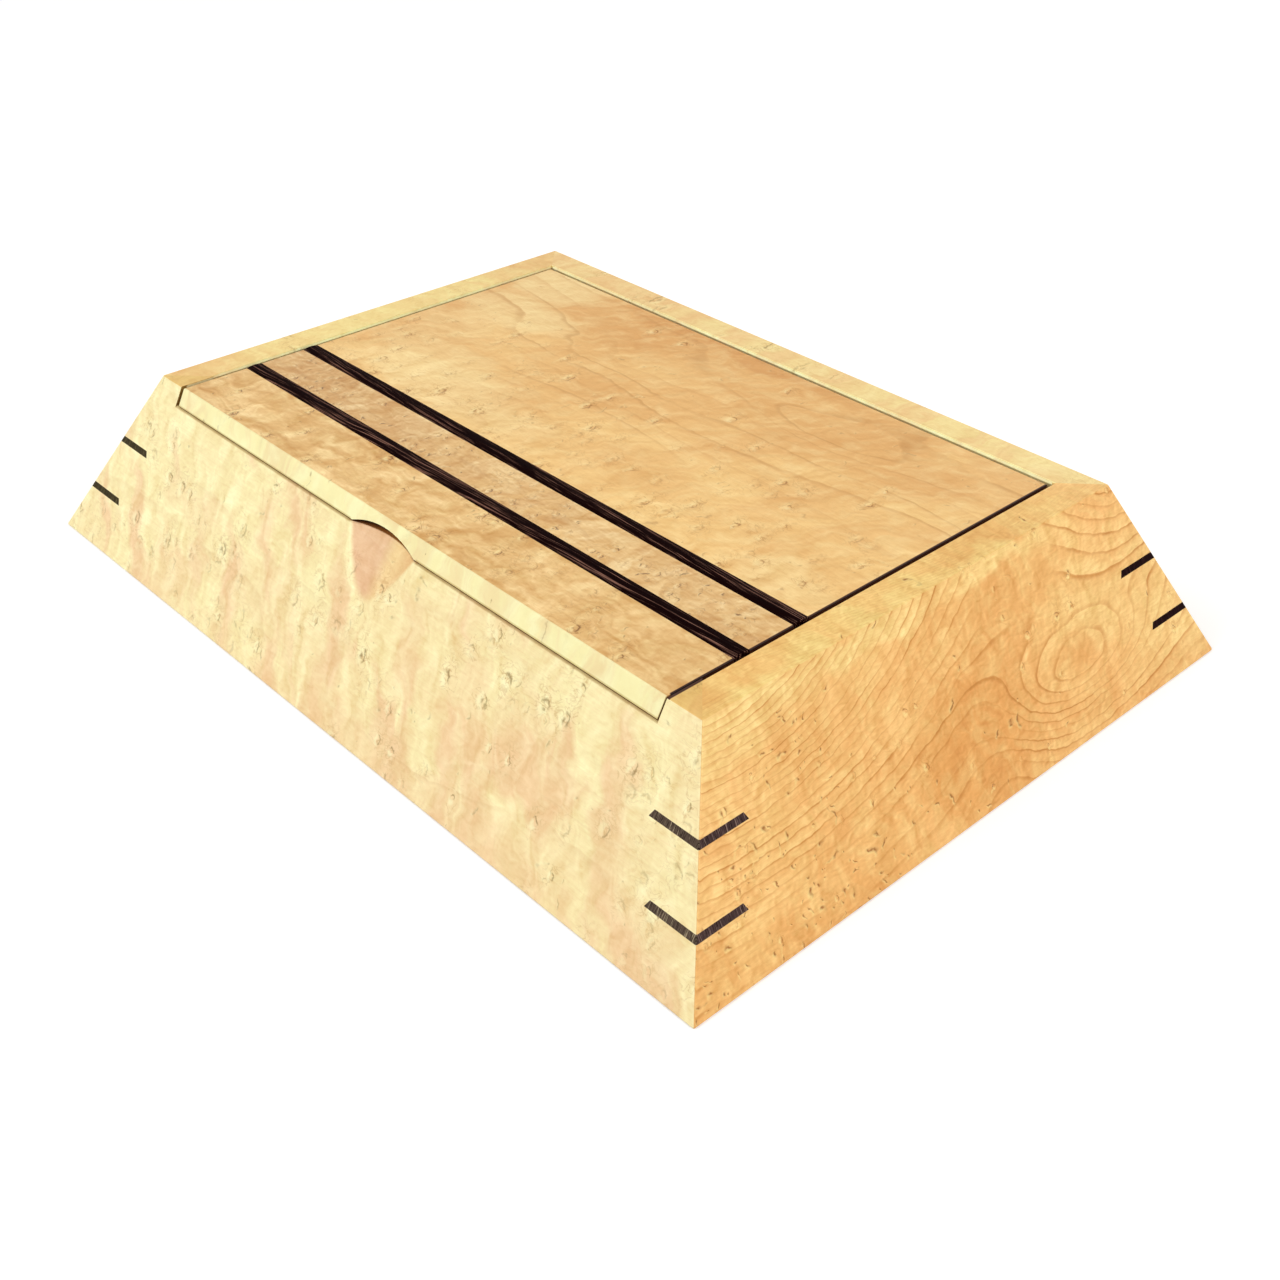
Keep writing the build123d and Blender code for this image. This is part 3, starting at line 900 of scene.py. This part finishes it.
maple_of = {
    "front_wall": maple(
        "maple_front", wall_grid("front"), front_tones, front_places,
        seed=1.0, ring_mm=16, drift=0.03, wander=3.0, lines=0.16, shade=0.12,
        curl_mm=15, curl_lean=0.35, curl=1.0, curl_rough=0.42, patch=0.35, wisps=0.2,
        weave=0.25, sweep=(0.0004, -0.0010), creases=0.65,
        eye_gap_mm=8.5, eye_mm=1.7, eye_squeeze=0.75, eye_share=0.36, eyes=0.7, tails=0.1,
        stains=[("pale", 168, 58, 34, 42, 0.75), ("flush", 60, 6, 70, 10, 0.45),
                ("flush", -106, 42, 24, 9, 0.4), ("flush", -40, 28, 60, 12, 0.3),
                ("pale", 66, 50, 34, 14, 0.4), ("pale", -106, 10, 26, 10, 0.45),
                ("pale", 160, 26, 30, 14, 0.35)],
        lobes=[(120, 46, 30, 12, 2.2), (40, 20, 50, 14, 1.5)]),
    "right_wall": maple(
        "maple_right", wall_grid("right"), side_tones, right_places,
        wax=(0.7, 0.55, 0.45), seed=2.0, ring_mm=14, through=14.0, drift=-0.05, wander=2.4, wave=2.2,
        lines=0.95, shade=0.35, line_from=0.76, curl_mm=18, curl_lean=0.2, curl=0.5, patch=0.4, wisps=0.3,
        eye_gap_mm=8.0, eye_mm=0.9, eye_squeeze=0.8, eye_share=0.2, eyes=0.75, tails=0.05,
        speck_gap_mm=3.7, specks=0.9, speck_side=(-0.0016, -0.0024), creases=0.6, weave=0.55, folds=0.75,
        lobes=[(-95, 110, 92, 60, 28.0), (62, 28, 46, 20, 7.0), (12, 14, 22, 26, -2.0),
               (112, 104, 50, 50, 10.0)],
        calm=[(40, 68, 30, 20, 0.1), (8, 22, 16, 20, 0.5), (-70, 4, 70, 22, 0.3)],
        stains=[("deep", 4, 26, 34, 28, 0.8), ("deep", 38, 66, 32, 22, 0.45), ("gleam", 76, 46, 24, 16, 0.4),
                ("deep", 60, 32, 10, 9, 0.4), ("gleam", -20, 77, 90, 6, 0.7),
                ("deep", -128, 10, 14, 12, 0.45), ("deep", -100, 6, 14, 8, 0.35),
                ("deep", -66, 4, 26, 6, 0.4), ("deep", -44, 18, 10, 9, 0.35), ("deep", -78, 20, 12, 6, 0.3),
                ("gleam", -100, 72, 40, 10, 0.5), ("gleam", 116, 30, 22, 40, 0.35),
                ("flush", 92, 84, 14, 20, 0.6), ("pale", 10, 78, 28, 7, 0.5)]),
    "rear_wall": maple(
        "maple_rear", wall_grid("rear"), front_tones, rear_places,
        wax=(0.9, 0.75, 0.5), weave=0.25, folds=0.4, seed=3.0, ring_mm=12, drift=0.02, wander=3.0,
        lines=0.28, shade=0.2, sweep=(0.0006, 0.0), curl_mm=14, curl_lean=-0.3, curl=0.7, patch=0.4,
        wisps=0.35, eye_gap_mm=9.0, eye_mm=1.6, eye_squeeze=0.75, eye_share=0.3, eyes=0.75, tails=0.1,
        lobes=[(-60, 30, 60, 18, 3.0)]),
    "left_wall": maple(
        "maple_left", wall_grid("left"), front_tones, left_places,
        wax=(1.0, 0.95, 0.85), weave=0.25, folds=0.4, seed=4.0, ring_mm=9.0, drift=0.05, wander=3.0,
        lines=0.35, shade=0.25, curl_mm=14, curl_lean=0.3, curl=0.7, patch=0.5, wisps=0.35,
        eye_gap_mm=8.5, eye_mm=1.5, eye_squeeze=0.75, eye_share=0.32, eyes=0.75, tails=0.1,
        stains=[("deep", -92, 80, 30, 14, 0.9), ("deep", 90, 80, 18, 14, 0.7),
                ("pale", 15, 80, 60, 12, 0.5)],
        lobes=[(40, 24, 50, 16, 4.0)]),
    "lid_main_board": maple(
        "maple_lid_main", lid_grid("lid_main_board"), lid_tones, lid_places,
        seed=5.0, ring_mm=15, drift=0.10, wander=4.2, lines=0.4, shade=0.15, sweep=(0.0, 0.0014),
        curl_mm=30, curl_lean=-0.6, curl=0.7, patch=0.45, wisps=0.3,
        eye_gap_mm=8.0, eye_mm=1.4, eye_squeeze=0.7, eye_share=0.22, eyes=0.75, tails=0.6, eye_side=-0.0055,
        weave=0.2, folds=0.5, tall=(0.5, -18, -48),
        calm=[(60, -40, 90, 26, 0.2), (-110, -30, 50, 40, 0.2)],
        stains=[("deep", -70, 48, 34, 15, 0.45), ("deep", -131, 12, 9, 15, 0.4),
                ("gleam", -116, 54, 26, 20, 0.65), ("gleam", -108, 20, 34, 16, 0.6),
                ("gleam", -116, -8, 22, 16, 0.3), ("deep", -24, 42, 40, 18, 0.35),
                ("deep", -40, -6, 34, 24, 0.25), ("gleam", -66, -50, 56, 17, 0.55),
                ("gleam", -92, -32, 50, 12, 0.35), ("deep", 34, -38, 34, 14, 0.3),
                ("gleam", 118, -54, 20, 12, 0.4), ("deep", -20, 61, 76, 6, 0.9)],
        lobes=[(-40, 20, 70, 22, 2.0), (60, 34, 44, 14, 2.4)]),
    "lid_middle_board": maple(
        "maple_lid_middle", lid_grid("lid_middle_board"), middle_tones, lid_places,
        seed=6.0, ring_mm=11, drift=0.0, wander=2.5, lines=0.2, shade=0.3, sweep=(-0.0008, 0.0),
        curl_mm=8, curl_lean=-0.2, curl=0.9, patch=0.5, wisps=0.5,
        eye_gap_mm=5.0, eye_mm=0.9, eye_squeeze=0.8, eye_share=0.5, eyes=0.75, tails=0.2,
        speck_gap_mm=3.6, specks=0.9, creases=0.6, weave=0.6, folds=0.9, tall=(0.35, 100, 50)),
    "lid_front_board": maple(
        "maple_lid_front", lid_grid("lid_front_board"), board_tones, lip_places,
        seed=7.0, ring_mm=14, drift=0.02, wander=2.5, lines=0.14, shade=0.1, sweep=(0.0, 0.002),
        curl_mm=10, curl_lean=-0.1, curl=1.0, patch=0.4, wisps=0.35,
        eye_gap_mm=8.0, eye_mm=1.2, eye_squeeze=0.7, eye_share=0.36, eyes=0.9, tails=0.35,
        weave=0.4, fold=(20.0, 8.0), folds=1.25, tall=(0.4, 100, 50), creases=0.95, specks=0.6,
        pale_places=[(slope_place, 0.85)]),
}


def give_finish(node, material):
    """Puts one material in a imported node's slots."""
    slots = nodes[node].data.materials
    slots.clear()
    slots.append(material)


for node, material in maple_of.items():
    give_finish(node, material)
print("maple boards:", len(maple_of))

# %% [markdown]
# ## Wenge strips and keys
# Wenge is nearly black with thin brown streaks. In the two strips the streaks run lengthways, a few degrees
# out of line, so they leave the strip at its edges; open pores show as fine dark dashes. In a corner key
# the grain runs square to the mitre. Its layers also lean with the corner, so that the streaks cross the
# key squarely on both faces.

# %% Wenge
pore_tone = linear(9, 3, 3)
strip_tones = (linear(18, 2, 2), linear(140, 100, 84))
key_lift = (1.35, 1.6, 1.25)
dull = 1.06


def wenge(name, turn, lean, along, across, through, dark, lift, places=()):
    """Oiled wenge: noise drawn out along the grain, in millimetres, in a grid turned about the upright and
    leaned about the grain; `dark` is the ground and `lift` the streaks."""
    finish = Finish(name)
    position = finish.step("TexCoord", output=3)
    grid = board_grid(finish, (0, 0, 0), lean, turn)
    drifting = finish.shake(grid, 34, 0.12 * along, 3.0)
    long_way = finish.stretch(drifting, along, across, through, shift=8.0)
    streaks = finish.cloud(long_way, 1.0, detail=3.0, roughness=0.65, distortion=0.2)
    pores = finish.cloud(finish.vector("MULTIPLY", long_way, (2.6,) * 3), 1.0, detail=1.0)
    broad = finish.cloud(finish.vector("MULTIPLY", long_way, (0.35,) * 3), 1.0, detail=2.0)
    streaked = finish.fade(finish.plus(streaks, finish.times(broad, 0.35)), 0.72, 0.86)
    colour = finish.blend(streaked, dark, lift)
    colour = finish.blend(finish.fade(pores, 0.52, 0.66, 0.0, 0.8), colour, pore_tone)
    colour = toned(finish, position, colour, places)
    height = finish.plus(finish.times(streaks, 0.5), finish.times(pores, -0.6))
    return finish.surface(colour, finish.plus(0.5, finish.times(streaks, 0.2)), height, 0.2 * mm, IOR=dull)


for node, slant in (("lid_front_strip", 2.5), ("lid_rear_strip", -2.5)):
    give_finish(node, wenge("wenge_" + node, radians(slant), 0.0, 30.0, 0.5, 0.5, *strip_tones))
keys = [node for node in nodes if node.startswith("spline_")]
key_lean = np.arctan(tan(wall_tilt) / np.sqrt(2)).item()
for corner, quarter, upright, dark, lift in (("front_right", 1, -1, (76, 58, 56), (140, 116, 106)),
                                             ("rear_left", 1, 1, (64, 50, 46), (136, 112, 100)),
                                             ("front_left", -1, -1, (60, 48, 38), (96, 80, 60)),
                                             ("rear_right", -1, 1, (32, 14, 15), (56, 32, 32))):
    key_wenge = wenge("wenge_" + corner, radians(45 * quarter), key_lean * upright, 9.0, 0.35, 9.0,
                      linear(*dark), linear(*lift), [(slope_place, key_lift)])
    for node in keys:
        if corner in node:
            give_finish(node, key_wenge)
print("wenge pieces:", 2 + len(keys))

# %% [markdown]
# ## Bottom panel and hinge pins
# The bottom is a plain maple-faced panel: the same wood cut round the log, so its rings are wide and few.
# The pins are drawn brass rod, with faint lines along them from the die.

# %% Panel and pins
panel_grid = dict(place=Vector((0, 0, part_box("bottom_panel")[0].z)))
give_finish("bottom_panel", maple(
    "maple_panel", panel_grid, lid_tones,
    seed=8.0, ring_mm=34, drift=0.04, wander=3.0, lines=0.3, shade=0.12, curl_mm=26, curl_lean=0.1, curl=0.4,
    patch=0.3, wisps=0.15, eye_gap_mm=16.0, eye_mm=0.9, eye_squeeze=0.7, eye_share=0.08, eyes=0.4, tails=0.1,
    specks=0.1, lobes=[(-60, 10, 120, 26, 3.0), (90, -40, 110, 22, 2.5)]))

brass = Finish("drawn_brass")
brass_grid = board_grid(brass, (0, 0, 0))
die_lines = brass.cloud(brass.stretch(brass_grid, 12, 0.15), 1.0, detail=2.0)
tarnish = brass.cloud(brass.stretch(brass_grid, 2.5, 2.5), 1.0, detail=3.0)
dulled = brass.fade(tarnish, 0.4, 0.7, 0.0, 0.6)
brass_colour = brass.blend(dulled, linear(214, 176, 96), linear(164, 122, 62))
brass_roughness = brass.plus(0.22, brass.times(die_lines, 0.25))
brass_finish = brass.surface(brass_colour, brass_roughness, die_lines, 0.05 * mm, Metallic=1.0)
for node in ("hinge_pin_left", "hinge_pin_right"):
    give_finish(node, brass_finish)
print("panel and pins done")

# %% [markdown]
# ## Felt lining
# A sheet of wool felt lies in the bottom so that dice land softly. Cut felt has edges that round over by
# themselves, and it never lies dead flat. The piece is one closed skin, a function of two parameters: the
# first runs round the sheet, the second goes from the middle of the top out to the edge, round it, and back
# under.

# %% Felt shape
felt_low, felt_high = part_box("bottom_lining")
felt_half = ((felt_high - felt_low) / 2).xy
felt_thickness = felt_high.z - felt_low.z
felt_clear = 0.4 * mm
felt_corner = 4 * mm
felt_dip = 0.22 * mm


def felt_skin(round_steps=240, out_steps=60):
    """Skin of the sheet. Going round, the outline is a rectangle with rounded corners: a point on a circle
    pushed out to the straight sides. Going out, a share of the outline grows from 0 to 1 for the top, the
    edge follows a half circle whose radius is about half the felt's thickness, and the share falls back to 0
    underneath. The top sinks and swells by two sine waves that die away at the edge."""
    around = np.linspace(0, 2 * np.pi, round_steps, endpoint=False)
    way = np.stack([np.cos(around), np.sin(around)])
    reach = np.array(felt_half)[:, None] - felt_clear - felt_corner
    edge_radius = felt_thickness / 2 - 0.1 * mm
    square = way / np.abs(way / reach).max(axis=0)
    out = np.linspace(0, 1, out_steps) ** 0.8
    bend = np.linspace(0, np.pi, 9)[1:-1]
    share = np.concatenate([out, np.ones(bend.size), out[::-1]])
    beyond = np.concatenate([np.zeros(out_steps), np.sin(bend), np.zeros(out_steps)])
    level = np.concatenate([np.ones(out_steps), np.cos(bend), -np.ones(out_steps)])
    outward = way / np.maximum(np.abs(way), 1e-9).max(axis=0)
    spread = ((felt_corner - edge_radius) * share + edge_radius * beyond)[:, None]
    x = square[0] * share[:, None] + outward[0] * spread
    y = square[1] * share[:, None] + outward[1] * spread
    middle = (felt_low.z + felt_high.z) / 2
    dip = (0.5 + 0.25 * np.sin(x * 41 + 1.3) + 0.25 * np.sin(y * 53 + x * 17)) * (1 - share[:, None] ** 6)
    sink = np.where(level[:, None] > 0.5, felt_dip * dip, 0.0)
    z = middle + edge_radius * level[:, None] - sink
    return x, y, z


def closed_skin(name, x, y, z):
    """Mesh of a grid that closes on itself round its second direction, with a point at each end of its
    first."""
    rows, columns = x.shape
    points = np.stack([x[1:-1], y[1:-1], z[1:-1]], axis=-1).reshape(-1, 3)
    ends = np.array([[x[0, 0], y[0, 0], z[0, 0]], [x[-1, 0], y[-1, 0], z[-1, 0]]])
    row, column = np.meshgrid(np.arange(rows - 3), np.arange(columns), indexing="ij")
    after = (column + 1) % columns
    quads = np.stack([row * columns + column, (row + 1) * columns + column,
                      (row + 1) * columns + after, row * columns + after], axis=-1).reshape(-1, 4)
    last = (rows - 3) * columns
    step = np.arange(columns)
    step_after = (step + 1) % columns
    first_fan = np.stack([np.full(columns, len(points)), step, step_after], axis=-1)
    last_fan = np.stack([np.full(columns, len(points) + 1), last + step_after, last + step], axis=-1)
    mesh = bpy.data.meshes.new(name)
    faces = quads.tolist() + first_fan.tolist() + last_fan.tolist()
    mesh.from_pydata(np.concatenate([points, ends]).tolist(), [], faces)
    mesh.polygons.foreach_set("use_smooth", np.ones(len(mesh.polygons), bool))
    made = bpy.data.objects.new(name, mesh)
    scene.collection.objects.link(made)
    return made


felt = closed_skin("felt_lining", *felt_skin())
print("felt faces:", len(felt.data.polygons))

# %% Felt finish
wool = Finish("wool_felt")
wool_grid = board_grid(wool, (0, 0, 0))
tufts = wool.cloud(wool.stretch(wool_grid, 1.2, 1.2), 1.0, detail=5.0, roughness=0.7, distortion=1.5)
hairs = wool.cloud(wool.stretch(wool_grid, 2.2, 0.16), 1.0, detail=2.0, distortion=2.0)
cloudy = wool.cloud(wool.stretch(wool_grid, 30, 30), 1.0, detail=3.0)
wool_colour = wool.blend(wool.fade(tufts, 0.35, 0.7), linear(30, 58, 40), linear(58, 92, 66))
wool_colour = wool.blend(wool.fade(hairs, 0.6, 0.8, 0.0, 0.4), wool_colour, linear(92, 124, 96))
wool_colour = wool.blend(wool.fade(cloudy, 0.3, 0.7, 0.0, 0.25), wool_colour, linear(26, 48, 34))
nap = {"Sheen Weight": 0.35, "Sheen Roughness": 0.5, "Specular IOR Level": 0.2}
fluff = wool.plus(tufts, wool.times(hairs, 0.4))
felt.data.materials.append(wool.surface(wool_colour, 0.95, fluff, 0.4 * mm, **nap))
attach(felt, "box")
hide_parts("bottom_lining")
print("felt, mm:", [round(2000 * side, 1) for side in felt_half], "by", round(1000 * felt_thickness, 1))
